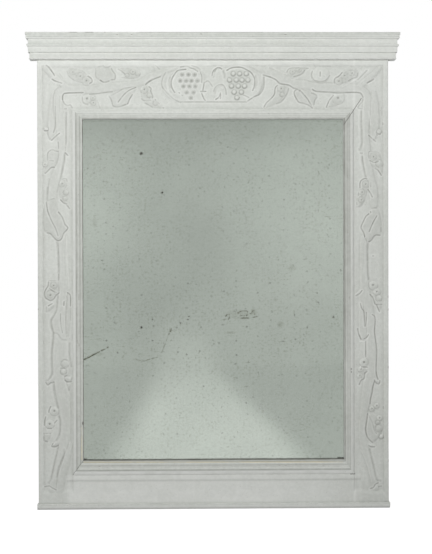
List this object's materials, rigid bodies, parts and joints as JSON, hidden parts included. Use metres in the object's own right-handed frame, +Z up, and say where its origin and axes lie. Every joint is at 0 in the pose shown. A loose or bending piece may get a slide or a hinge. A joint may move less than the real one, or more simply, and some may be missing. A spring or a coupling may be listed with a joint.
{
  "type": "trumeau mirror",
  "caption": "Wall-hung overmantel mirror with a painted wooden frame, a carved grapevine in low relief, a stepped cornice and an aged silvered plate.",
  "frame": {"origin": "middle of the bottom edge, on the plane of the back that lies on the wall", "axes": "+Z up, the mirror's face looks along -Y, +X to the right of a viewer in front of it"},
  "size_m": [1.122, 0.063, 1.432],
  "materials": {
    "painted_oak": "old chalky off-white paint, worn and crazed",
    "bare_pine": "raw aged softwood",
    "old_silvering": "aged silvered glass, foxed and scratched",
    "wrought_iron": "dark forged iron with some rust"
  },
  "bodies": {
    "frame": {"left_stile": "painted_oak", "right_stile": "painted_oak", "frieze_rail": "painted_oak", "bottom_rail": "painted_oak", "base_strip": "painted_oak", "tenon_pegs": "bare_pine", "sight_mould_top": "painted_oak", "sight_mould_bottom": "painted_oak", "sight_mould_left": "painted_oak", "sight_mould_right": "painted_oak", "cornice_front": "painted_oak", "cornice_return_left": "painted_oak", "cornice_return_right": "painted_oak", "cornice_cap": "painted_oak", "mirror_plate": "old_silvering", "glazing_blocks": "bare_pine", "back_board_1": "bare_pine", "back_board_2": "bare_pine", "back_board_3": "bare_pine", "back_board_4": "bare_pine", "back_board_5": "bare_pine", "back_board_6": "bare_pine", "back_board_nails": "wrought_iron", "hanger_strap_left": "wrought_iron", "hanger_strap_right": "wrought_iron", "hanger_screws": "wrought_iron"},
    "ring_left": {"hanger_ring_left": "wrought_iron"},
    "ring_right": {"hanger_ring_right": "wrought_iron"}
  },
  "joints": [
    {"name": "ring_left_swing", "type": "hinge", "parent": "frame", "child": "ring_left", "pos_m": [-0.464, -0.0048, 1.04], "axis": [1, 0, 0], "range_deg": [-4, 180]},
    {"name": "ring_right_swing", "type": "hinge", "parent": "frame", "child": "ring_right", "pos_m": [0.464, -0.0048, 1.04], "axis": [1, 0, 0], "range_deg": [-4, 180]}
  ]
}
